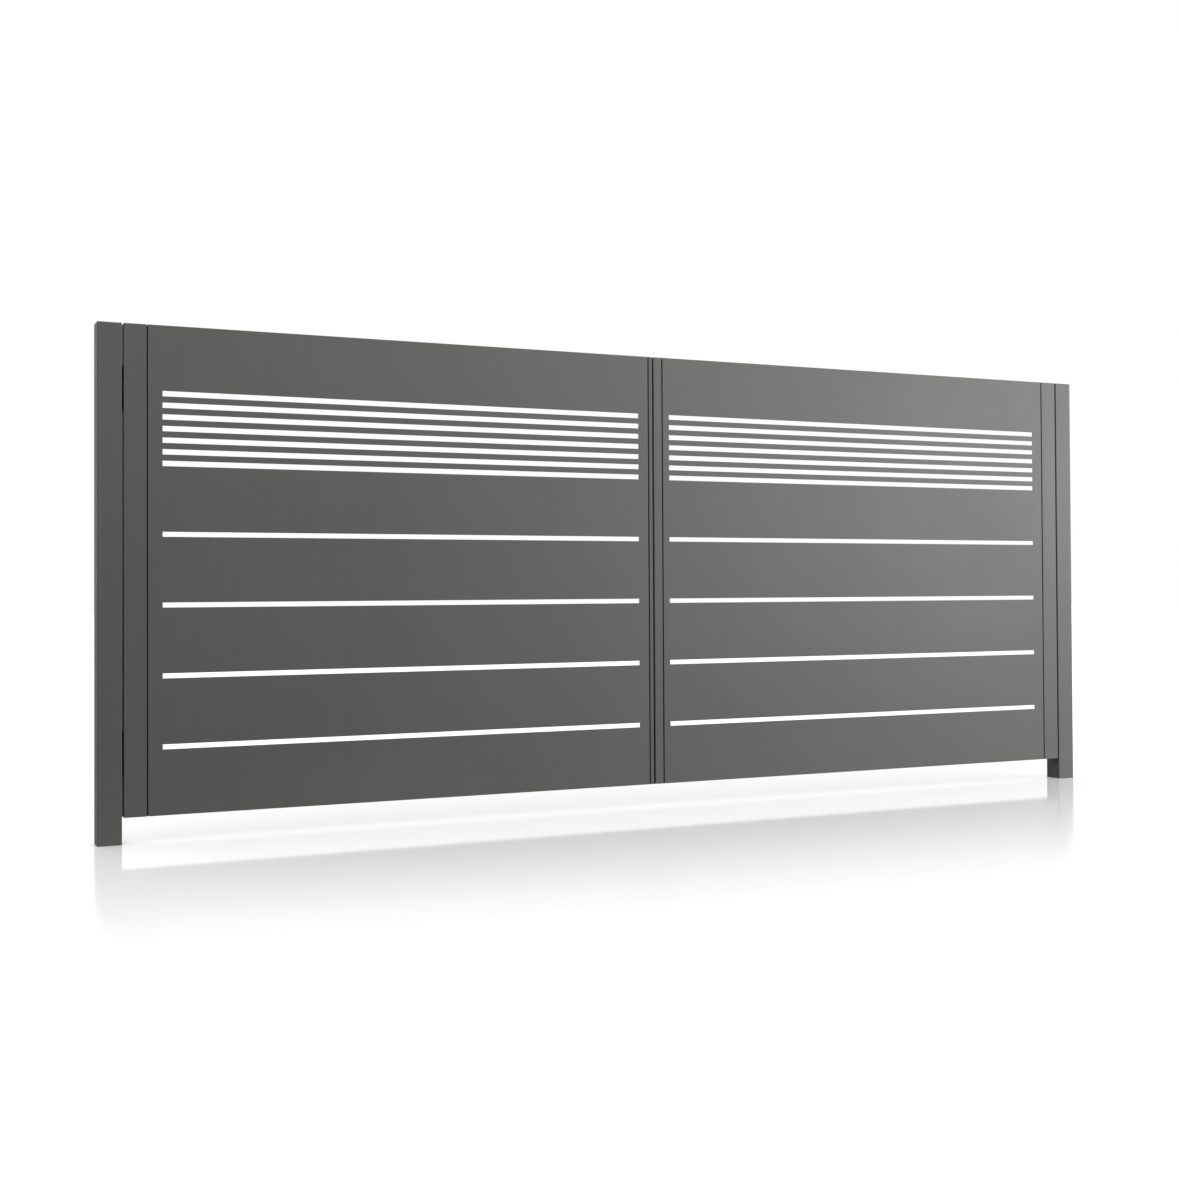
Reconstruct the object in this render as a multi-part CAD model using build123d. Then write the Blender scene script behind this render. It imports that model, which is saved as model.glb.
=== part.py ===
from build123d import *
import os

# Overall sizes of the gate
opening_width = 4000
post_size = 80
post_height = 1750
ground_clearance = 90

# Gaps beside the moving leaves
hinge_gap = 6
meeting_gap = 7

# Posts
post_wall = 4
post_corner = 2
post_foot_thickness = 8

# Frame of each leaf
leaf_depth = 50
hinge_stile_width = 74.25
left_meeting_width = 14.25
right_meeting_width = 34.75
stile_wall = 2.5
stile_corner = 1.5
slim_stile_wall = 2
lip_width = 22
lip_thickness = 3
rail_height = 60
rail_wall = 2.5
rail_corner = 2
cope_clearance = 0.5

# Slotted face tray of each leaf
tray_depth = 15
tray_sheet = 2.5
tray_flange = 12
fold_radius = 1.2
mitre_gap = 1
seam = 4.5
hinge_margin = 48.25
left_meeting_margin = 40.75
right_meeting_margin = 27.25

# Slots and the strips between them
wide_slot_count = 4
wide_slot_height = 17
thin_slot_count = 7
thin_slot_height = 18.5
thin_strip_height = 21
board_count = 6

# Stiffening tubes behind the thin strips
stiffener_height = 15
stiffener_wall = 1.5
stiffener_overlap = 14

# Caps on the posts and stiles
cap_thickness = 3
cap_edge = 0.8
cap_skirt_depth = 15
cap_skirt_wall = 2
cap_clearance = 0.1

# Barrel hinges
hinge_end_distance = 210
hinge_offset = 17
hinge_plate_thickness = 4
hinge_plate_height = 150
hinge_plate_corner = 4
post_plate_width = 22
leaf_plate_width = 48
knuckle_radius = 8
knuckle_height = 48
knuckle_gap = 1
thrust_radius = 7
thrust_clearance = 0.1
lug_width = 8
pin_radius = 5
pin_clearance = 0.05
pin_head_radius = 7
pin_head_edge = 1.2
pin_head_thickness = 3
pin_tail = 4
pin_point = 1

# Places that follow from the sizes above
leaf_height = post_height - ground_clearance
front = -post_size / 2
leaf_back = front + leaf_depth
tray_back = front + tray_depth
lip_back = tray_back + lip_thickness
opening_start = post_size / 2
opening_end = opening_start + opening_width
right_post_centre = opening_end + post_size / 2
left_leaf_extra = left_meeting_margin + seam + left_meeting_width
right_leaf_extra = right_meeting_margin + seam + right_meeting_width
hinge_side_width = hinge_stile_width + seam + hinge_margin
leaves_width = opening_width - 2 * hinge_gap - meeting_gap
slot_length = (leaves_width - 2 * hinge_side_width - left_leaf_extra - right_leaf_extra) / 2
thin_group_height = thin_slot_count * thin_slot_height + (thin_slot_count - 1) * thin_strip_height
wide_group_height = wide_slot_count * wide_slot_height
board_height = (leaf_height - thin_group_height - wide_group_height) / board_count
left_leaf_width = hinge_side_width + slot_length + left_leaf_extra
right_leaf_width = hinge_side_width + slot_length + right_leaf_extra
hinge_axis_depth = leaf_back + hinge_offset
low_hinge_height = ground_clearance + hinge_end_distance
high_hinge_height = post_height - hinge_end_distance
half_plate = hinge_plate_height / 2
half_knuckle = knuckle_height / 2


# Rectangle given by its low and high corners
def area(a_low, a_high, b_low, b_high):
    centre = Pos((a_low + a_high) / 2, (b_low + b_high) / 2)
    return centre * Rectangle(a_high - a_low, b_high - b_low)


# The same rectangle with its corners rounded
def rounded_area(a_low, a_high, b_low, b_high, radius):
    centre = Pos((a_low + a_high) / 2, (b_low + b_high) / 2)
    return centre * RectangleRounded(a_high - a_low, b_high - b_low, radius)


# Plan section raised from one height to another
def raise_section(section, z_low, z_high):
    return extrude(Pos(0, 0, z_low) * section, amount=z_high - z_low)


# Shape drawn as seen from the front, made into a sheet that starts at one depth
def stand_sheet(shape, y_low, thickness):
    back = Plane(origin=(0, y_low + thickness, 0), x_dir=(1, 0, 0), z_dir=(0, -1, 0))
    return extrude(back * shape, amount=thickness)


# End section drawn as seen along the gate, run from one place to another
def run_section(section, x_low, x_high):
    return extrude(Plane.YZ.offset(x_low) * section, amount=x_high - x_low)


# Low edge and height of each slot, from the bottom of the leaf up
def slot_rows():
    rows = []
    level = ground_clearance
    for _ in range(wide_slot_count):
        level += board_height
        rows.append((level, wide_slot_height))
        level += wide_slot_height
    level += board_height
    for _ in range(thin_slot_count):
        rows.append((level, thin_slot_height))
        level += thin_slot_height + thin_strip_height
    return rows


# Middle height of each thin strip between the upper slots
def strip_levels():
    thin_rows = slot_rows()[wide_slot_count:]
    return [low + height + thin_strip_height / 2 for low, height in thin_rows[:-1]]


# Cap that covers the end of a tube, with a skirt down each chamber
def make_cap(outline, chambers, top):
    cap = raise_section(outline, top - cap_thickness, top)
    cap = chamfer(cap.faces().sort_by(Axis.Z)[-1].edges(), cap_edge)
    for chamber in chambers:
        plug = offset(chamber, amount=-cap_clearance, kind=Kind.INTERSECTION)
        hollow = offset(plug, amount=-cap_skirt_wall, kind=Kind.INTERSECTION)
        cap += raise_section(plug - hollow, top - cap_skirt_depth, top - cap_thickness)
    return cap


# Outside and inside of the square post
def post_outline():
    half = post_size / 2
    return rounded_area(-half, half, -half, half, post_corner)


def post_chamber():
    hollow = post_size / 2 - post_wall
    return area(-hollow, hollow, -hollow, hollow)


# Square post with its foot closed by a welded plate
def make_post():
    tube_top = post_height - cap_thickness
    outer = raise_section(post_outline(), 0, tube_top)
    return outer - raise_section(post_chamber(), post_foot_thickness, tube_top)


# Outside of a stile without its lip
def stile_outline(width):
    return rounded_area(0, width, front, leaf_back, stile_corner)


# Chambers of a stile, parted by webs of the wall's thickness
def stile_chambers(width, wall, count):
    pitch = (width - wall) / count
    chambers = []
    for index in range(count):
        start = wall + index * pitch
        chambers.append(area(start, start + pitch - wall, front + wall, leaf_back - wall))
    return chambers


# Stile extrusion with a lip at the side that backs the tray
def make_stile(width, wall, chambers):
    section = stile_outline(width) + area(width - wall, width + lip_width, tray_back, lip_back)
    for chamber in chambers:
        section -= chamber
    return raise_section(section, ground_clearance, post_height - cap_thickness)


# Stile and its cap, as the two pieces of one side of a leaf
def make_stile_set(width, wall, chamber_count):
    chambers = stile_chambers(width, wall, chamber_count)
    stile = make_stile(width, wall, chambers)
    cap = make_cap(stile_outline(width), chambers, post_height)
    return stile, cap


# Space that a rail leaves for the lip of a stile
def lip_cope(x_low, x_high, z_low):
    section = area(tray_back, lip_back, z_low, z_low + rail_height)
    return run_section(section, x_low, x_high)


# Tube across the leaf, its front coped at both ends round the lips
def make_rail(x_low, x_high, z_low):
    z_high = z_low + rail_height
    outer = rounded_area(tray_back, leaf_back, z_low, z_high, rail_corner)
    hollow = area(tray_back + rail_wall, leaf_back - rail_wall, z_low + rail_wall, z_high - rail_wall)
    rail = run_section(outer - hollow, x_low, x_high)
    cope = lip_width + cope_clearance
    rail -= lip_cope(x_low, x_low + cope, z_low)
    rail -= lip_cope(x_high - cope, x_high, z_low)
    return rail


# All slots of one leaf as a flat pattern
def slot_pattern(slot_start):
    pattern = Sketch()
    for low, height in slot_rows():
        pattern += area(slot_start, slot_start + slot_length, low, low + height)
    return pattern


# Slits where the folded flanges meet at the corners of the tray
def mitre_slits(width):
    middle = (tray_sheet + tray_flange) / 2
    length = (tray_flange - tray_sheet) * 2**0.5 + mitre_gap
    slits = Sketch()
    for x, lean in ((middle, 45), (width - middle, -45)):
        slits += Pos(x, ground_clearance + middle) * Rot(0, 0, lean) * Rectangle(length, mitre_gap)
        slits += Pos(x, post_height - middle) * Rot(0, 0, -lean) * Rectangle(length, mitre_gap)
    return slits


# Slotted sheet, folded back along its four edges and in again to a flange
def make_tray(width, slot_start):
    blank = area(0, width, ground_clearance, post_height)
    body = stand_sheet(blank, front, tray_depth)
    body = fillet(body.faces().sort_by(Axis.Y)[0].edges(), fold_radius)
    tray = offset(body, amount=-tray_sheet, openings=body.faces().sort_by(Axis.Y)[-1])
    window = area(
        tray_flange,
        width - tray_flange,
        ground_clearance + tray_flange,
        post_height - tray_flange,
    )
    flange = blank - window - mitre_slits(width)
    tray += stand_sheet(flange, tray_back - tray_sheet, tray_sheet)
    return tray - stand_sheet(slot_pattern(slot_start), front, tray_sheet)


# Tube behind one thin strip, filling the depth of the tray
def make_stiffener(level, slot_start):
    low = level - stiffener_height / 2
    high = level + stiffener_height / 2
    sheet_back = front + tray_sheet
    outer = area(sheet_back, tray_back, low, high)
    hollow = area(
        sheet_back + stiffener_wall,
        tray_back - stiffener_wall,
        low + stiffener_wall,
        high - stiffener_wall,
    )
    start = slot_start - stiffener_overlap
    stop = slot_start + slot_length + stiffener_overlap
    return run_section(outer - hollow, start, stop)


# Section of a hinge knuckle with the lug that joins it to its plate
def knuckle_section(lug):
    return Circle(knuckle_radius) + lug - Circle(pin_radius + pin_clearance)


# Ring on the lower knuckle that the leaf's knuckle turns on
def thrust_ring():
    ring = Circle(thrust_radius) - Circle(pin_radius + pin_clearance)
    base = -half_knuckle - knuckle_gap
    return raise_section(ring, base, -half_knuckle - thrust_clearance)


# Hinge half on the post, with its axis at the origin
def make_post_hinge():
    half_width = post_plate_width / 2
    outline = rounded_area(-half_width, half_width, -half_plate, half_plate, hinge_plate_corner)
    plate = run_section(outline, -hinge_offset, hinge_plate_thickness - hinge_offset)
    section = knuckle_section(area(-hinge_offset, 0, -lug_width / 2, lug_width / 2))
    inner_end = half_knuckle + knuckle_gap
    upper = raise_section(section, inner_end, half_plate)
    lower = raise_section(section, -half_plate, -inner_end)
    return plate + upper + lower + thrust_ring()


# Hinge half on the leaf, with its axis at the origin
def make_leaf_hinge():
    outline = rounded_area(0, leaf_plate_width, -half_plate, half_plate, hinge_plate_corner)
    plate = stand_sheet(outline, -hinge_offset, hinge_plate_thickness)
    section = knuckle_section(area(0, lug_width, -hinge_offset, 0))
    return plate + raise_section(section, -half_knuckle, half_knuckle)


# Hinge pin, its head resting on the upper knuckle
def make_pin():
    shaft = raise_section(Circle(pin_radius), -half_plate - pin_tail, half_plate)
    shaft = chamfer(shaft.faces().sort_by(Axis.Z)[0].edges(), pin_point)
    head = raise_section(Circle(pin_head_radius), half_plate, half_plate + pin_head_thickness)
    head = chamfer(head.faces().sort_by(Axis.Z)[-1].edges(), pin_head_edge)
    return shaft + head


# Turns a piece of the left leaf into its right hand form
def mirror_piece(piece):
    return mirror(piece, about=Plane.YZ)


# Writes one finished solid
def save(piece, name):
    export_step(piece, os.path.join("parts", name + ".step"))


# Posts and their caps
def build_posts():
    post = make_post()
    cap = make_cap(post_outline(), [post_chamber()], post_height)
    for side, centre in (("left", 0), ("right", right_post_centre)):
        save(Pos(centre, 0, 0) * post, side + "_post")
        save(Pos(centre, 0, 0) * cap, side + "_post_cap")


# Hinges of both leaves, each with its pin
def build_hinges():
    post_half = make_post_hinge()
    leaf_half = make_leaf_hinge()
    pin = make_pin()
    for row, level in (("lower", low_hinge_height), ("upper", high_hinge_height)):
        left_axis = Pos(opening_start + hinge_offset, hinge_axis_depth, level)
        right_axis = Pos(opening_end - hinge_offset, hinge_axis_depth, level)
        save(left_axis * post_half, "left_" + row + "_post_hinge")
        save(left_axis * leaf_half, "left_" + row + "_leaf_hinge")
        save(left_axis * pin, "left_" + row + "_hinge_pin")
        save(right_axis * mirror_piece(post_half), "right_" + row + "_post_hinge")
        save(right_axis * mirror_piece(leaf_half), "right_" + row + "_leaf_hinge")
        save(right_axis * pin, "right_" + row + "_hinge_pin")


# Every piece of one leaf, built with its hinge edge at the origin
def leaf_pieces(leaf_width, meeting_width):
    hinge_stile, hinge_cap = make_stile_set(hinge_stile_width, stile_wall, 2)
    meeting_stile, meeting_cap = make_stile_set(meeting_width, slim_stile_wall, 1)
    far_edge = Pos(leaf_width, 0, 0)
    tray_start = hinge_stile_width + seam
    tray_width = leaf_width - meeting_width - seam - tray_start
    rail_stop = leaf_width - meeting_width
    pieces = {
        "hinge_stile": hinge_stile,
        "hinge_stile_cap": hinge_cap,
        "meeting_stile": far_edge * mirror_piece(meeting_stile),
        "meeting_stile_cap": far_edge * mirror_piece(meeting_cap),
        "face_tray": Pos(tray_start, 0, 0) * make_tray(tray_width, hinge_margin),
    }
    rail_levels = {
        "bottom_rail": ground_clearance,
        "middle_rail": (ground_clearance + post_height - rail_height) / 2,
        "top_rail": post_height - rail_height,
    }
    for name, level in rail_levels.items():
        pieces[name] = make_rail(hinge_stile_width, rail_stop, level)
    for number, level in enumerate(strip_levels(), start=1):
        pieces["stiffener_" + str(number)] = make_stiffener(level, hinge_side_width)
    return pieces


# Both leaves, the right one turned over so that its hinges are on the right
def build_leaves():
    for name, piece in leaf_pieces(left_leaf_width, left_meeting_width).items():
        save(Pos(opening_start + hinge_gap, 0, 0) * piece, "left_" + name)
    for name, piece in leaf_pieces(right_leaf_width, right_meeting_width).items():
        save(Pos(opening_end - hinge_gap, 0, 0) * mirror_piece(piece), "right_" + name)


os.makedirs("parts", exist_ok=True)
build_posts()
build_hinges()
build_leaves()
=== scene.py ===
import bpy
import math
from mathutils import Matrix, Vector


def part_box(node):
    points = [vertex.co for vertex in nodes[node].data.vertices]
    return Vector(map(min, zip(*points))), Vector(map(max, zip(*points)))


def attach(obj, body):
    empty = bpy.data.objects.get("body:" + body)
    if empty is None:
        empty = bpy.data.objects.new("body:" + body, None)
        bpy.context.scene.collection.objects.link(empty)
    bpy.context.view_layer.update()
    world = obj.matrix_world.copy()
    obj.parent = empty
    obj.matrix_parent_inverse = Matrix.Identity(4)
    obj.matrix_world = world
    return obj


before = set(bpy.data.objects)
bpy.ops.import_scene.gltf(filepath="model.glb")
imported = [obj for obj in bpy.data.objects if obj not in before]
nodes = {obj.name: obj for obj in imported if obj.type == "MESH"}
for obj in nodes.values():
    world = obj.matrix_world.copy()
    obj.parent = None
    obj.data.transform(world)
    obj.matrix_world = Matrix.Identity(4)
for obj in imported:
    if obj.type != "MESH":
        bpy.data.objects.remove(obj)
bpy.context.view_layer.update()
scene = bpy.context.scene
print("frame loaded with", len(nodes), "nodes")


# puts a value on an input, or joins another node's output to it
def feed(tree, socket, value):
    if isinstance(value, bpy.types.NodeSocket):
        tree.links.new(value, socket)
    else:
        socket.default_value = value


def addNode(tree, kind, inputs=None, **settings):
    node = tree.nodes.new(kind)
    for key, value in settings.items():
        setattr(node, key, value)
    for name, value in (inputs or {}).items():
        feed(tree, node.inputs[name], value)
    return node


def mathNode(tree, operation, *values):
    return addNode(tree, "ShaderNodeMath", dict(enumerate(values)), operation=operation).outputs[0]


def vectorOf(tree, **parts):
    return addNode(tree, "ShaderNodeCombineXYZ", parts).outputs[0]


def mapRange(tree, value, fromRange, toRange=(0.0, 1.0), kind="LINEAR"):
    inputs = dict(zip(("From Min", "From Max", "To Min", "To Max"), (*fromRange, *toRange)))
    inputs["Value"] = value
    return addNode(tree, "ShaderNodeMapRange", inputs, interpolation_type=kind).outputs["Result"]


def noiseMask(tree, vector, scale, detail, roughness=0.5):
    inputs = {"Vector": vector, "Scale": scale, "Detail": detail, "Roughness": roughness}
    return addNode(tree, "ShaderNodeTexNoise", inputs).outputs["Fac"]


def mixColour(tree, factor, first, second):
    mix = addNode(tree, "ShaderNodeMix", {"Factor": factor}, data_type="RGBA")
    colours = [socket for socket in mix.inputs if socket.type == "RGBA"]
    feed(tree, colours[0], first)
    feed(tree, colours[1], second)
    return [socket for socket in mix.outputs if socket.type == "RGBA"][0]


def newGroup(name, kind, inputs, outputs):
    tree = bpy.data.node_groups.new(name, kind)
    for socketName, socketKind, value in inputs:
        socket = tree.interface.new_socket(socketName, in_out="INPUT", socket_type=socketKind)
        if value is not None:
            socket.default_value = value
    for socketName, socketKind in outputs:
        tree.interface.new_socket(socketName, in_out="OUTPUT", socket_type=socketKind)
    return tree, addNode(tree, "NodeGroupInput").outputs, addNode(tree, "NodeGroupOutput").inputs


def newMaterial(name):
    material = bpy.data.materials.new(name)
    material.use_nodes = True
    tree = material.node_tree
    place = addNode(tree, "ShaderNodeTexCoord").outputs["Object"]
    return material, tree.nodes["Principled BSDF"].inputs, place


# camera, where the slant of the gate's edges in the photo puts it

cameraSettings = {
    "place": (-0.7134, -5.4501, 0.8457),  # metres
    "turn": (90.866, 0.293, -24.911),  # degrees
    "lens": 47.59,  # mm
    "filmWidth": 36.0,  # mm
    "shift": (-0.0072, -0.0191),
    "sight": 200.0,  # metres
}


def addCamera(settings):
    data = bpy.data.cameras.new("photoCamera")
    data.sensor_fit = "HORIZONTAL"
    data.sensor_width = settings["filmWidth"]
    data.lens = settings["lens"]
    data.shift_x, data.shift_y = settings["shift"]
    data.clip_end = settings["sight"]
    camera = bpy.data.objects.new("photoCamera", data)
    camera.location = settings["place"]
    camera.rotation_euler = [math.radians(angle) for angle in settings["turn"]]
    scene.collection.objects.link(camera)
    scene.camera = camera


# white surroundings and a pale floor that shines near the gate

surroundings = {"tone": (1.0, 1.0, 1.0, 1.0), "strength": 1.0}

studioFloor = {
    "size": 120.0,
    "tone": (0.965, 0.965, 0.96, 1.0),  # as the camera sees it
    "bounceTone": (0.3, 0.3, 0.3, 1.0),  # as it lights the gate from below
    "gloss": 0.21,
    "polishFade": (0.2, 2.4),  # metres in front of the gate or behind it
    "roughness": (0.06, 0.36),  # before the fade and after it
}


def addSurroundings(settings):
    world = bpy.data.worlds.new("whiteStudio")
    world.use_nodes = True
    background = world.node_tree.nodes["Background"]
    background.inputs["Color"].default_value = settings["tone"]
    background.inputs["Strength"].default_value = settings["strength"]
    scene.world = world
    scene.view_settings.view_transform = "Standard"


def buildFloorPaint(settings):
    material, shader, place = newMaterial("floorPaint")
    tree = material.node_tree
    seen = addNode(tree, "ShaderNodeLightPath").outputs["Is Camera Ray"]
    feed(tree, shader["Base Color"], mixColour(tree, seen, settings["bounceTone"], settings["tone"]))
    feed(tree, shader["Specular IOR Level"], settings["gloss"])
    across = addNode(tree, "ShaderNodeSeparateXYZ", {0: place}).outputs["Y"]
    away = mathNode(tree, "ABSOLUTE", across)
    roughness = mapRange(tree, away, settings["polishFade"], settings["roughness"], "SMOOTHSTEP")
    feed(tree, shader["Roughness"], roughness)
    return material


def addFloor(settings):
    half = settings["size"] / 2
    corners = [(-half, -half, 0), (half, -half, 0), (half, half, 0), (-half, half, 0)]
    mesh = bpy.data.meshes.new("studioFloor")
    mesh.from_pydata(corners, [], [(0, 1, 2, 3)])
    mesh.materials.append(buildFloorPaint(settings))
    floor = bpy.data.objects.new("studioFloor", mesh)
    scene.collection.objects.link(floor)
    return floor


# large soft panels, places and sizes in metres and power in watts

softPanels = {
    "rightPanel": {"place": (9.5, -6.5, 1.9), "aim": (3.4, 0.0, 1.0), "size": (6.0, 4.4), "power": 1110.0},
    "topPanel": {"place": (2.3, -2.0, 4.4), "aim": (2.3, 0.0, 0.9), "size": (7.0, 1.6), "power": 190.0},
    "backPanel": {"place": (5.6, 6.4, 3.4), "aim": (2.2, 0.0, 0.9), "size": (5.0, 2.6), "power": 760.0},
}

# wide light from straight above that keeps the floor white, spread in degrees
floorWash = {"place": (2.0, 0.0, 6.0), "strength": 1.12, "spread": 110.0}


# a collection that has a light fall on the floor alone, or leave it out
def floorForLight(name, floor, state):
    collection = bpy.data.collections.new(name)
    collection.objects.link(floor)
    collection.collection_objects[0].light_linking.link_state = state
    return collection


def addLight(name, kind, place, receivers):
    light = bpy.data.objects.new(name, bpy.data.lights.new(name, kind))
    light.location = place
    scene.collection.objects.link(light)
    light.light_linking.receiver_collection = receivers
    return light


def addSoftPanel(name, settings, receivers):
    light = addLight(name, "AREA", settings["place"], receivers)
    light.data.shape = "RECTANGLE"
    light.data.size, light.data.size_y = settings["size"]
    light.data.energy = settings["power"]
    aim = Vector(settings["aim"]) - Vector(settings["place"])
    light.rotation_euler = aim.to_track_quat("-Z", "Y").to_euler()


def addFloorWash(settings, receivers):
    light = addLight("floorWash", "SUN", settings["place"], receivers)
    light.data.energy = settings["strength"]
    light.data.angle = math.radians(settings["spread"])


addCamera(cameraSettings)
addSurroundings(surroundings)
floorObject = addFloor(studioFloor)
withoutFloor = floorForLight("keptFromPanels", floorObject, "EXCLUDE")
for panelName, panel in softPanels.items():
    addSoftPanel(panelName, panel, withoutFloor)
addFloorWash(floorWash, floorForLight("washedByFloorLight", floorObject, "INCLUDE"))
print("camera, lights and floor ready")


# grain of a baked powder coat: orange peel with fine sand on it, and a slow drift of shade

coatGrainLook = {
    "peelScale": 420.0,
    "sandScale": 1800.0,
    "sandHeight": 0.45,  # as a share of the peel's height
    "driftScale": 1.6,
    "driftRange": (0.3, 0.7),  # of the noise, spread over the whole of the mask
    "runMarks": 0.35,  # share of the marks that rain leaves
    "runScale": (38.0, 38.0, 0.7),  # fine across, long up and down
}


def buildCoatGrain(look):
    inputs = [("vector", "NodeSocketVector", None)]
    for name in ("peelScale", "sandScale", "driftScale", "runMarks"):
        inputs.append((name, "NodeSocketFloat", look[name]))
    outputs = [(name, "NodeSocketFloat") for name in ("height", "drift", "speckle")]
    tree, start, end = newGroup("coatGrain", "ShaderNodeTree", inputs, outputs)

    peel = noiseMask(tree, start["vector"], start["peelScale"], detail=2.0)
    sand = addNode(
        tree,
        "ShaderNodeTexVoronoi",
        {"Vector": start["vector"], "Scale": start["sandScale"], "Smoothness": 0.6},
        feature="SMOOTH_F1",
    )
    sandHeight = mathNode(tree, "MULTIPLY", sand.outputs["Distance"], look["sandHeight"])
    feed(tree, end["height"], mathNode(tree, "ADD", peel, sandHeight))
    feed(tree, end["speckle"], sand.outputs["Distance"])

    clouds = noiseMask(tree, start["vector"], start["driftScale"], detail=5.0, roughness=0.6)
    upright = addNode(tree, "ShaderNodeMapping", {"Vector": start["vector"], "Scale": look["runScale"]})
    runs = noiseMask(tree, upright.outputs["Vector"], 1.0, detail=3.0, roughness=0.55)
    blend = addNode(
        tree,
        "ShaderNodeMix",
        {"Factor": start["runMarks"], "A": clouds, "B": runs},
        data_type="FLOAT",
    )
    feed(tree, end["drift"], mapRange(tree, blend.outputs["Result"], look["driftRange"]))
    return tree


# light rub along edges, found where a rounded normal leaves the true one

edgeRubLook = {
    "radius": 0.002,
    "amount": 0.5,
    "edgeRange": (0.998, 0.86),  # how far the normals agree, where the rub starts and where it is full
    "patchScale": 55.0,
    "patchRange": (0.42, 0.68),
}


def buildEdgeRub(look):
    inputs = [("vector", "NodeSocketVector", None)]
    inputs += [(name, "NodeSocketFloat", look[name]) for name in ("radius", "amount")]
    outputs = [("rub", "NodeSocketFloat"), ("normal", "NodeSocketVector")]
    tree, start, end = newGroup("edgeRub", "ShaderNodeTree", inputs, outputs)

    rounded = addNode(tree, "ShaderNodeBevel", {"Radius": start["radius"]}, samples=4).outputs["Normal"]
    trueNormal = addNode(tree, "ShaderNodeNewGeometry").outputs["Normal"]
    agree = addNode(tree, "ShaderNodeVectorMath", {0: rounded, 1: trueNormal}, operation="DOT_PRODUCT")
    edge = mapRange(tree, agree.outputs["Value"], look["edgeRange"], kind="SMOOTHSTEP")
    patches = noiseMask(tree, start["vector"], look["patchScale"], detail=4.0, roughness=0.65)
    rub = mathNode(tree, "MULTIPLY", edge, mapRange(tree, patches, look["patchRange"]))
    feed(tree, end["rub"], mathNode(tree, "MULTIPLY", rub, start["amount"]))
    feed(tree, end["normal"], rounded)
    return tree


# settled dust: on faces that look up, and a haze low down

settledDustLook = {
    "amount": 0.2,
    "splashHeight": 0.35,  # metres above the ground
    "splash": 0.55,  # at the ground, where 1 is the dust of a face that looks straight up
    "upwardPower": 2.0,  # how soon the dust thins out on a sloping face
    "clumpScale": 9.0,
}


def buildSettledDust(look):
    inputs = [("vector", "NodeSocketVector", None)]
    inputs += [(name, "NodeSocketFloat", look[name]) for name in ("amount", "splashHeight")]
    tree, start, end = newGroup("settledDust", "ShaderNodeTree", inputs, [("dust", "NodeSocketFloat")])

    normal = addNode(tree, "ShaderNodeNewGeometry").outputs["Normal"]
    upward = addNode(tree, "ShaderNodeSeparateXYZ", {0: normal}).outputs["Z"]
    lying = mathNode(tree, "POWER", mathNode(tree, "MAXIMUM", upward, 0.0), look["upwardPower"])
    height = addNode(tree, "ShaderNodeSeparateXYZ", {0: start["vector"]}).outputs["Z"]
    low = mapRange(tree, height, (0.0, start["splashHeight"]), (look["splash"], 0.0), "SMOOTHSTEP")
    clumps = noiseMask(tree, start["vector"], look["clumpScale"], detail=6.0, roughness=0.62)
    gathered = mathNode(tree, "ADD", lying, low)
    laid = mathNode(tree, "MULTIPLY", clumps, start["amount"])
    feed(tree, end["dust"], mathNode(tree, "MULTIPLY", gathered, laid))
    return tree


coatGrain = buildCoatGrain(coatGrainLook)
edgeRub = buildEdgeRub(edgeRubLook)
settledDust = buildSettledDust(settledDustLook)


def useGroup(tree, group, place, **values):
    return addNode(tree, "ShaderNodeGroup", {"vector": place, **values}, node_tree=group).outputs


def scaledTone(tone, share):
    return tuple(channel * share for channel in tone[:3]) + (1.0,)


# from the darker to the lighter shade of a finish, by the drift mask
def driftedTone(tree, drift, finish, spread):
    return mixColour(tree, drift, *[scaledTone(finish["tone"], share) for share in spread])


# the grain stands on the rounded normal of the edges
def addBump(tree, shader, height, normal, strength, depth):
    bump = addNode(
        tree,
        "ShaderNodeBump",
        {"Strength": strength, "Distance": depth, "Height": height, "Normal": normal},
    )
    feed(tree, shader["Normal"], bump.outputs["Normal"])


# powder coated aluminium, the finish of everything but caps, pins and screws

coatFinishes = {
    "trayCoat": {
        "tone": (0.0482, 0.0478, 0.0446, 1.0),
        "roughness": 0.48,
        "peelScale": 420.0,
        "bump": 0.34,
        "runMarks": 0.3,
        "rub": 0.14,
        "rubRadius": 0.0008,
        "dust": 0.10,
    },
    "stileCoat": {
        "tone": (0.0472, 0.0468, 0.0436, 1.0),
        "roughness": 0.47,
        "peelScale": 400.0,
        "bump": 0.36,
        "runMarks": 0.4,
        "rub": 0.18,
        "rubRadius": 0.0010,
        "dust": 0.12,
    },
    "postCoat": {
        "tone": (0.0466, 0.0462, 0.0430, 1.0),
        "roughness": 0.47,
        "peelScale": 380.0,
        "bump": 0.38,
        "runMarks": 0.45,
        "rub": 0.22,
        "rubRadius": 0.0012,
        "dust": 0.16,
    },
    "backFrameCoat": {
        "tone": (0.0477, 0.0473, 0.0441, 1.0),
        "roughness": 0.5,
        "peelScale": 380.0,
        "bump": 0.42,
        "runMarks": 0.3,
        "rub": 0.15,
        "rubRadius": 0.0010,
        "dust": 0.3,
    },
    "hingeCoat": {
        "tone": (0.0466, 0.0462, 0.0430, 1.0),
        "roughness": 0.40,
        "peelScale": 360.0,
        "bump": 0.5,
        "runMarks": 0.2,
        "rub": 0.7,
        "rubRadius": 0.0009,
        "dust": 0.3,
    },
}

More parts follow.
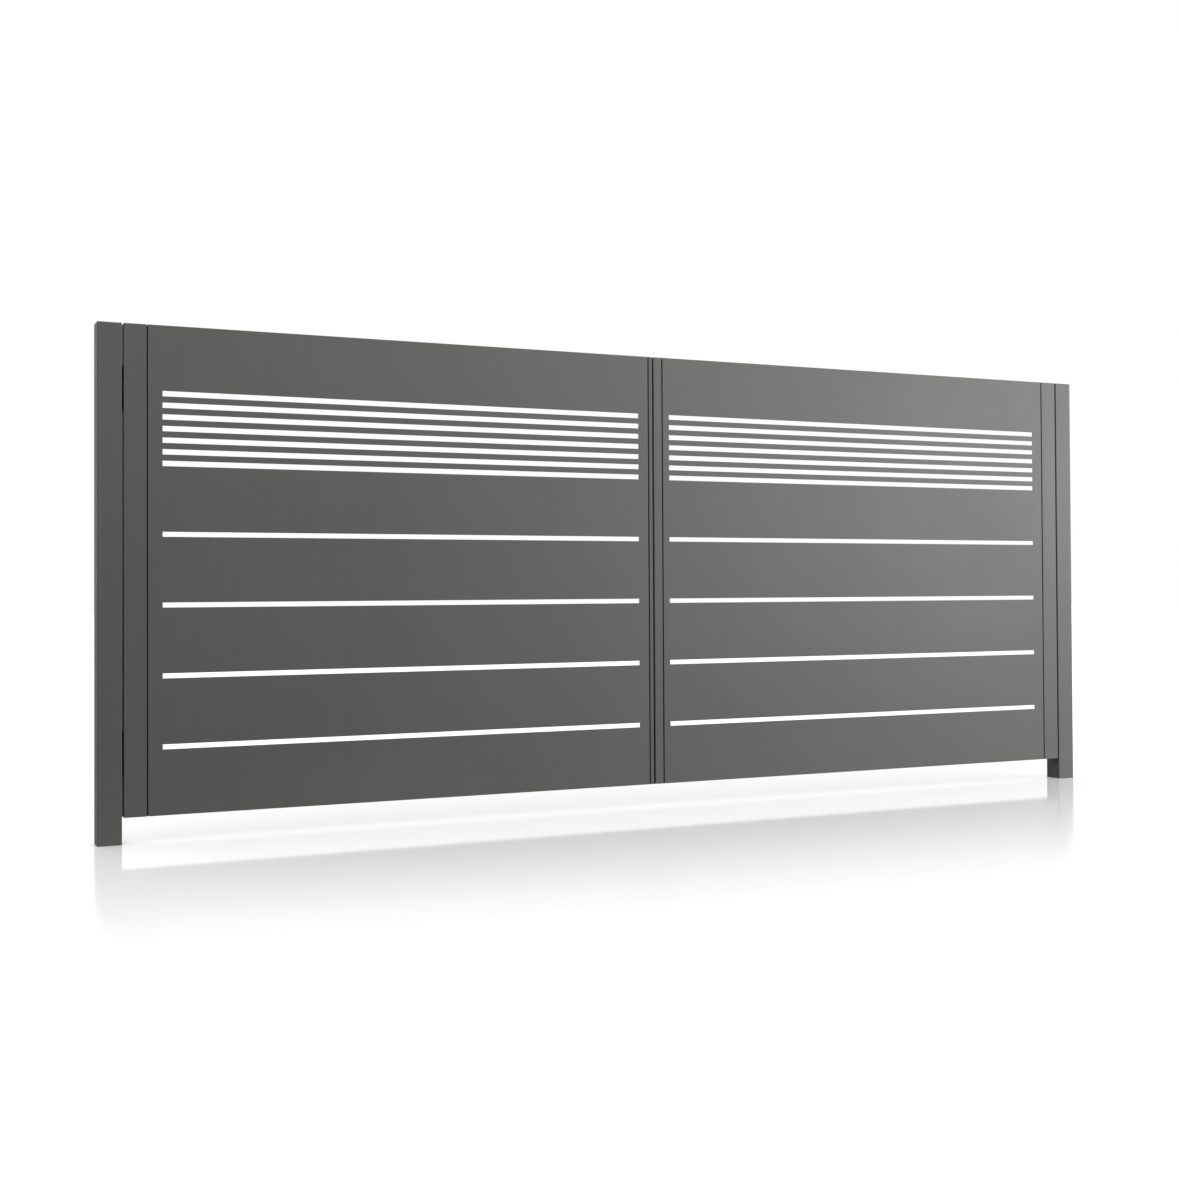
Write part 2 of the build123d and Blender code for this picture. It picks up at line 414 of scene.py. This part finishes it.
# what all the coats share
coatLook = {
    "gloss": 0.26,
    "driftSpread": (0.93, 1.07),  # shares of the tone
    "fleck": 0.15,
    "fleckTone": 1.5,
    "bareMetal": (0.42, 0.42, 0.41, 1.0),
    "bareMetalness": 0.8,
    "driftRoughness": (-0.04, 0.08),  # added at the dark end, and how much more at the light end
    "dustRoughness": 0.5,
    "bumpDepth": 0.0005,
}
dustTone = (0.30, 0.28, 0.25, 1.0)


def buildCoat(name, finish, look):
    material, shader, place = newMaterial(name)
    tree = material.node_tree
    grain = useGroup(tree, coatGrain, place, peelScale=finish["peelScale"], runMarks=finish["runMarks"])
    rub = useGroup(tree, edgeRub, place, radius=finish["rubRadius"], amount=finish["rub"])
    dust = useGroup(tree, settledDust, place, amount=finish["dust"])

    shade = driftedTone(tree, grain["drift"], finish, look["driftSpread"])
    fleck = mathNode(tree, "MULTIPLY", grain["speckle"], look["fleck"])
    shade = mixColour(tree, fleck, shade, scaledTone(finish["tone"], look["fleckTone"]))
    shade = mixColour(tree, dust["dust"], shade, dustTone)
    shade = mixColour(tree, rub["rub"], shade, look["bareMetal"])
    feed(tree, shader["Base Color"], shade)
    feed(tree, shader["Specular IOR Level"], look["gloss"])
    feed(tree, shader["Metallic"], mathNode(tree, "MULTIPLY", rub["rub"], look["bareMetalness"]))

    lowest, gain = look["driftRoughness"]
    worn = mathNode(tree, "MULTIPLY_ADD", grain["drift"], gain, finish["roughness"] + lowest)
    dusty = mathNode(tree, "MULTIPLY", dust["dust"], look["dustRoughness"])
    feed(tree, shader["Roughness"], mathNode(tree, "ADD", worn, dusty))
    addBump(tree, shader, grain["height"], rub["normal"], finish["bump"], look["bumpDepth"])
    return material


# moulded caps: matt plastic with a fine sand texture

capFinish = {
    "tone": (0.0470, 0.0466, 0.0440, 1.0),
    "roughness": 0.55,
    "speckleRoughness": 0.1,
    "peelScale": 240.0,
    "sandScale": 1300.0,
    "bump": 0.35,
    "bumpDepth": 0.0005,
    "driftScale": 6.0,
    "driftSpread": (0.9, 1.1),
    "runMarks": 0.1,
    "rub": 0.35,
    "rubRadius": 0.0007,
    "rubTone": 2.2,
    "dust": 0.2,
}


def buildCapPlastic(name, finish):
    material, shader, place = newMaterial(name)
    tree = material.node_tree
    grainValues = {key: finish[key] for key in ("peelScale", "sandScale", "driftScale", "runMarks")}
    grain = useGroup(tree, coatGrain, place, **grainValues)
    rub = useGroup(tree, edgeRub, place, radius=finish["rubRadius"], amount=finish["rub"])
    dust = useGroup(tree, settledDust, place, amount=finish["dust"])

    shade = driftedTone(tree, grain["drift"], finish, finish["driftSpread"])
    shade = mixColour(tree, dust["dust"], shade, dustTone)
    shade = mixColour(tree, rub["rub"], shade, scaledTone(finish["tone"], finish["rubTone"]))
    feed(tree, shader["Base Color"], shade)
    gain = finish["speckleRoughness"]
    rough = mathNode(tree, "MULTIPLY_ADD", grain["speckle"], gain, finish["roughness"])
    feed(tree, shader["Roughness"], rough)
    addBump(tree, shader, grain["height"], rub["normal"], finish["bump"], finish["bumpDepth"])
    return material


# turned pins and stainless screws: bare metal with fine turning marks

metalFinishes = {
    "pinSteel": {"tone": (0.42, 0.42, 0.41, 1.0), "roughness": 0.34, "markScale": 2600.0, "bump": 0.15},
    "screwSteel": {"tone": (0.55, 0.55, 0.54, 1.0), "roughness": 0.28, "markScale": 3600.0, "bump": 0.10},
}

# what both metals share
metalLook = {
    "driftScale": 40.0,
    "driftSpread": (0.8, 1.12),
    "runMarks": 0.0,
    "rub": 0.8,
    "rubRadius": 0.0005,
    "rubTone": 1.4,
    "markStretch": (0.02, 0.02, 1.0),  # rings round the upright axis
    "markRoughness": (-0.1, 0.2),  # added between the marks, and how much more on them
    "bumpDepth": 0.0002,
}


def buildMetal(name, finish, look):
    material, shader, place = newMaterial(name)
    tree = material.node_tree
    grain = useGroup(tree, coatGrain, place, driftScale=look["driftScale"], runMarks=look["runMarks"])
    rub = useGroup(tree, edgeRub, place, radius=look["rubRadius"], amount=look["rub"])
    stretched = addNode(tree, "ShaderNodeMapping", {"Vector": place, "Scale": look["markStretch"]})
    marks = noiseMask(tree, stretched.outputs["Vector"], finish["markScale"], detail=3.0)

    shade = driftedTone(tree, grain["drift"], finish, look["driftSpread"])
    shade = mixColour(tree, rub["rub"], shade, scaledTone(finish["tone"], look["rubTone"]))
    feed(tree, shader["Base Color"], shade)
    feed(tree, shader["Metallic"], 1.0)
    lowest, gain = look["markRoughness"]
    rough = mathNode(tree, "MULTIPLY_ADD", marks, gain, finish["roughness"] + lowest)
    feed(tree, shader["Roughness"], rough)
    addBump(tree, shader, marks, rub["normal"], finish["bump"], look["bumpDepth"])
    return material


materials = {name: buildCoat(name, finish, coatLook) for name, finish in coatFinishes.items()}
materials["capPlastic"] = buildCapPlastic("capPlastic", capFinish)
for metalName, metalFinish in metalFinishes.items():
    materials[metalName] = buildMetal(metalName, metalFinish, metalLook)
print("materials ready:", len(materials))


# every carried-over piece gets its finish by the end of its name

finishByEnding = {
    "_post": "postCoat",
    "_cap": "capPlastic",
    "_stile": "stileCoat",
    "_tray": "trayCoat",
    "_rail": "backFrameCoat",
    "_hinge": "hingeCoat",
    "_pin": "pinSteel",
}


def finishFor(nodeName):
    for ending, finish in finishByEnding.items():
        if nodeName.endswith(ending):
            return materials[finish]
    return materials["backFrameCoat"]  # the stiffeners, whose names end in a number


for nodeName, nodeObject in nodes.items():
    nodeObject.material_slots[0].material = finishFor(nodeName)
print("finishes given to the carried-over pieces")


# fasteners and weld beads are grown by Geometry Nodes on points and lines

def pointCarrier(name, points):
    mesh = bpy.data.meshes.new(name)
    mesh.from_pydata(points, [], [])
    return bpy.data.objects.new(name, mesh)


def lineCarrier(name, lines):
    mesh = bpy.data.meshes.new(name)
    points = [point for line in lines for point in line]
    mesh.from_pydata(points, [(2 * index, 2 * index + 1) for index in range(len(lines))], [])
    return bpy.data.objects.new(name, mesh)


# a tree takes points or lines, its sizes and, where it draws at random, a seed
def newPieceTree(name, sizeNames, seeded):
    inputs = [("Geometry", "NodeSocketGeometry", None)]
    inputs += [(sizeName, "NodeSocketFloat", None) for sizeName in sizeNames]
    if seeded:
        inputs.append(("seed", "NodeSocketInt", None))
    return newGroup(name, "GeometryNodeTree", inputs, [("Geometry", "NodeSocketGeometry")])


def finishTree(tree, end, geometry, material):
    realize = addNode(tree, "GeometryNodeRealizeInstances", {"Geometry": geometry})
    paint = addNode(
        tree,
        "GeometryNodeSetMaterial",
        {"Geometry": realize.outputs["Geometry"], "Material": material},
    )
    feed(tree, end["Geometry"], paint.outputs["Geometry"])


# values that name an input of the tree go to it, and the result becomes a plain mesh
def growPiece(carrier, tree, values, name, body):
    scene.collection.objects.link(carrier)
    modifier = carrier.modifiers.new("grow", "NODES")
    modifier.node_group = tree
    for item in tree.interface.items_tree:
        if item.in_out == "INPUT" and item.name in values:
            modifier[item.identifier] = values[item.name]
    graph = bpy.context.evaluated_depsgraph_get()
    mesh = bpy.data.meshes.new_from_object(carrier.evaluated_get(graph))
    mesh.name = name
    piece = bpy.data.objects.new(name, mesh)
    scene.collection.objects.link(piece)
    bpy.data.objects.remove(carrier)
    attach(piece, body)
    print("grew", name, "with", len(mesh.polygons), "faces")


# a round dome with a hole cut down into its top
def domeWithHole(tree, segments, radius, height, holeSides, holeRadius, holeLift):
    ball = addNode(
        tree,
        "GeometryNodeMeshUVSphere",
        {"Segments": segments, "Rings": segments // 2, "Radius": 1.0},
    )
    domeScale = vectorOf(tree, X=radius, Y=radius, Z=height)
    dome = addNode(tree, "GeometryNodeTransform", {"Geometry": ball.outputs["Mesh"], "Scale": domeScale})
    hole = addNode(
        tree,
        "GeometryNodeMeshCylinder",
        {"Vertices": holeSides, "Radius": holeRadius, "Depth": height},
    )
    lift = vectorOf(tree, Z=mathNode(tree, "MULTIPLY", height, holeLift))
    raised = addNode(tree, "GeometryNodeTransform", {"Geometry": hole.outputs["Mesh"], "Translation": lift})
    cut = addNode(
        tree,
        "GeometryNodeMeshBoolean",
        {"Mesh 1": dome.outputs["Geometry"], "Mesh 2": raised.outputs["Geometry"]},
        operation="DIFFERENCE",
    )
    return cut.outputs["Mesh"]


# button head screws on washers hold the hinge plates to the backs of the stiles

hingeScrews = {
    "headRadius": 0.0055,
    "headHeight": 0.0034,
    "washerRadius": 0.0075,
    "washerHeight": 0.0012,
    "segments": 28,
    "socketSides": 6,
    "socketRadius": 0.0027,
    "socketLift": 0.95,  # of the head's height
    "lean": -math.pi / 2,  # heads point to the back
    "seed": 4,
    "fromPin": (0.020, 0.038),
    "fromMiddle": 0.055,  # of the hinge plate, up and down
    "plateThickness": 0.004,
}


def buildScrewTree(values, material):
    sizeNames = ("headRadius", "headHeight", "washerRadius", "washerHeight", "socketRadius", "lean")
    tree, start, end = newPieceTree("buttonScrews", sizeNames, seeded=True)
    segments = values["segments"]
    washer = addNode(
        tree,
        "GeometryNodeMeshCylinder",
        {"Vertices": segments, "Radius": start["washerRadius"], "Depth": start["washerHeight"]},
    )
    head = domeWithHole(
        tree,
        segments,
        start["headRadius"],
        start["headHeight"],
        values["socketSides"],
        start["socketRadius"],
        values["socketLift"],
    )
    screw = addNode(tree, "GeometryNodeJoinGeometry", {"Geometry": washer.outputs["Mesh"]})
    feed(tree, screw.inputs["Geometry"], head)

    # each screw stops at its own turn
    spin = addNode(tree, "FunctionNodeRandomValue", {3: math.pi, "Seed": start["seed"]}, data_type="FLOAT")
    facing = addNode(
        tree,
        "FunctionNodeRotateEuler",
        {"Rotation": vectorOf(tree, X=start["lean"]), "Rotate By": vectorOf(tree, Z=spin.outputs[1])},
        rotation_type="EULER",
        space="LOCAL",
    )
    spread = addNode(
        tree,
        "GeometryNodeInstanceOnPoints",
        {
            "Points": start["Geometry"],
            "Instance": screw.outputs["Geometry"],
            "Rotation": facing.outputs["Rotation"],
        },
    )
    finishTree(tree, end, spread.outputs["Instances"], material)
    return tree


def hingeScrewPoints(side, values):
    away = 1.0 if side == "left" else -1.0
    points = []
    for row in ("lower", "upper"):
        pinLow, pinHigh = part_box(side + "_" + row + "_hinge_pin")
        plateLow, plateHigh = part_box(side + "_" + row + "_leaf_hinge")
        pinX = (pinLow.x + pinHigh.x) / 2
        middle = (plateLow.z + plateHigh.z) / 2
        washerY = plateLow.y + values["plateThickness"] + values["washerHeight"] / 2
        for offset in values["fromPin"]:
            for rise in (-values["fromMiddle"], values["fromMiddle"]):
                points.append((pinX + away * offset, washerY, middle + rise))
    return points


# the lips of the stiles stand behind the tray

lipThickness = 0.003


def lipBack(side):
    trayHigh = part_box(side + "_face_tray")[1]
    return trayHigh.y + lipThickness


# blind rivets fasten the flanges of the tray to the lips of the stiles

trayRivets = {
    "rivetRadius": 0.0042,
    "rivetHeight": 0.0014,
    "segments": 20,
    "mandrelSides": 14,
    "mandrelShare": 0.34,  # of the rivet's radius
    "mandrelLift": 1.1,  # of the rivet's height
    "lean": -math.pi / 2,
    "perSpan": 4,  # between one rail and the next
    "endGap": 0.06,
    "fromTrayEdge": 0.007,
}


def buildRivetTree(values, material):
    tree, start, end = newPieceTree("blindRivets", ("rivetRadius", "rivetHeight", "lean"), seeded=False)
    rivet = domeWithHole(
        tree,
        values["segments"],
        start["rivetRadius"],
        start["rivetHeight"],
        values["mandrelSides"],
        mathNode(tree, "MULTIPLY", start["rivetRadius"], values["mandrelShare"]),
        values["mandrelLift"],
    )
    spread = addNode(
        tree,
        "GeometryNodeInstanceOnPoints",
        {"Points": start["Geometry"], "Instance": rivet, "Rotation": vectorOf(tree, X=start["lean"])},
    )
    finishTree(tree, end, spread.outputs["Instances"], material)
    return tree


def trayRivetPoints(side, values):
    trayLow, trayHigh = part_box(side + "_face_tray")
    rails = [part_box(side + "_" + name + "_rail") for name in ("bottom", "middle", "top")]
    points = []
    for x in (trayLow.x + values["fromTrayEdge"], trayHigh.x - values["fromTrayEdge"]):
        for below, above in zip(rails, rails[1:]):
            low = below[1].z + values["endGap"]
            high = above[0].z - values["endGap"]
            for index in range(values["perSpan"]):
                share = index / (values["perSpan"] - 1)
                points.append((x, lipBack(side), low + (high - low) * share))
    return points


# weld beads: overlapping ripples along a line, on the leaves and on the posts

leafWelds = {
    "beadWidth": 0.0045,
    "ripplePitch": 0.002,
    "seed": 3,
    "fromRailBack": 0.002,
    "stiffeners": 6,
    "fromStiffenerEdge": 0.002,
}
postWelds = {"beadWidth": 0.004, "ripplePitch": 0.002, "seed": 8, "fromPlateEnd": 0.005}

# what all the ripples share
weldRipples = {"segments": 8, "rings": 5, "reach": 1.15, "unevenness": (0.88, 1.1)}  # reach in pitches


def buildBeadTree(ripples, material):
    tree, start, end = newPieceTree("weldBeads", ("beadWidth", "ripplePitch"), seeded=True)
    path = addNode(tree, "GeometryNodeMeshToCurve", {"Mesh": start["Geometry"]})
    steps = addNode(
        tree,
        "GeometryNodeResampleCurve",
        {"Curve": path.outputs["Curve"], "Length": start["ripplePitch"]},
        mode="LENGTH",
    )
    ripple = addNode(
        tree,
        "GeometryNodeMeshUVSphere",
        {"Segments": ripples["segments"], "Rings": ripples["rings"], "Radius": 1.0},
    )
    across = mathNode(tree, "MULTIPLY", start["beadWidth"], 0.5)
    along = mathNode(tree, "MULTIPLY", start["ripplePitch"], ripples["reach"])
    smallest, largest = ripples["unevenness"]
    uneven = addNode(
        tree,
        "FunctionNodeRandomValue",
        {2: smallest, 3: largest, "Seed": start["seed"]},
        data_type="FLOAT",
    )
    scale = addNode(
        tree,
        "ShaderNodeVectorMath",
        {0: vectorOf(tree, X=across, Y=across, Z=along), "Scale": uneven.outputs[1]},
        operation="SCALE",
    )
    tangent = addNode(tree, "GeometryNodeInputTangent").outputs[0]
    aligned = addNode(tree, "FunctionNodeAlignRotationToVector", {"Vector": tangent}, axis="Z")
    spread = addNode(
        tree,
        "GeometryNodeInstanceOnPoints",
        {
            "Points": steps.outputs["Curve"],
            "Instance": ripple.outputs["Mesh"],
            "Rotation": aligned.outputs["Rotation"],
            "Scale": scale.outputs[0],
        },
    )
    beads = addNode(tree, "GeometryNodeRealizeInstances", {"Geometry": spread.outputs["Instances"]})
    smooth = addNode(tree, "GeometryNodeSetShadeSmooth", {"Geometry": beads.outputs["Geometry"]})
    finishTree(tree, end, smooth.outputs["Geometry"], material)
    return tree


# rails on the stiles' lips, and the ends of the stiffeners
def leafWeldLines(side, values):
    lines = []
    for name in ("bottom", "middle", "top"):
        low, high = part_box(side + "_" + name + "_rail")
        for x in (low.x, high.x):
            if name != "bottom":
                lines.append(((x, lipBack(side), low.z), (x, high.y - values["fromRailBack"], low.z)))
            if name != "top":
                lines.append(((x, lipBack(side), high.z), (x, high.y - values["fromRailBack"], high.z)))
    for number in range(1, values["stiffeners"] + 1):
        low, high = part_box(side + "_stiffener_" + str(number))
        foot = low.z + values["fromStiffenerEdge"]
        head = high.z - values["fromStiffenerEdge"]
        for x in (low.x, high.x):
            lines.append(((x, low.y, foot), (x, low.y, head)))
    return lines


# both upright edges of each hinge plate on its post
def postWeldLines(side, values):
    lines = []
    postLow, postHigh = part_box(side + "_post")
    x = postHigh.x if side == "left" else postLow.x
    for row in ("lower", "upper"):
        low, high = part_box(side + "_" + row + "_post_hinge")
        foot = low.z + values["fromPlateEnd"]
        head = high.z - values["fromPlateEnd"]
        for y in (low.y, high.y):
            lines.append(((x, y, foot), (x, y, head)))
    return lines


screwTree = buildScrewTree(hingeScrews, materials["screwSteel"])
rivetTree = buildRivetTree(trayRivets, materials["backFrameCoat"])
beadTree = buildBeadTree(weldRipples, materials["hingeCoat"])

for side in ("left", "right"):
    leaf = side + "_leaf"
    screws = pointCarrier("screwPoints", hingeScrewPoints(side, hingeScrews))
    growPiece(screws, screwTree, hingeScrews, side + "_hinge_screws", leaf)
    rivets = pointCarrier("rivetPoints", trayRivetPoints(side, trayRivets))
    growPiece(rivets, rivetTree, trayRivets, side + "_tray_rivets", leaf)
    welds = lineCarrier("weldLines", leafWeldLines(side, leafWelds))
    growPiece(welds, beadTree, leafWelds, side + "_leaf_welds", leaf)
postLines = postWeldLines("left", postWelds) + postWeldLines("right", postWelds)
welds = lineCarrier("weldLines", postLines)
growPiece(welds, beadTree, postWelds, "post_hinge_welds", "posts")
print("fasteners and welds ready")
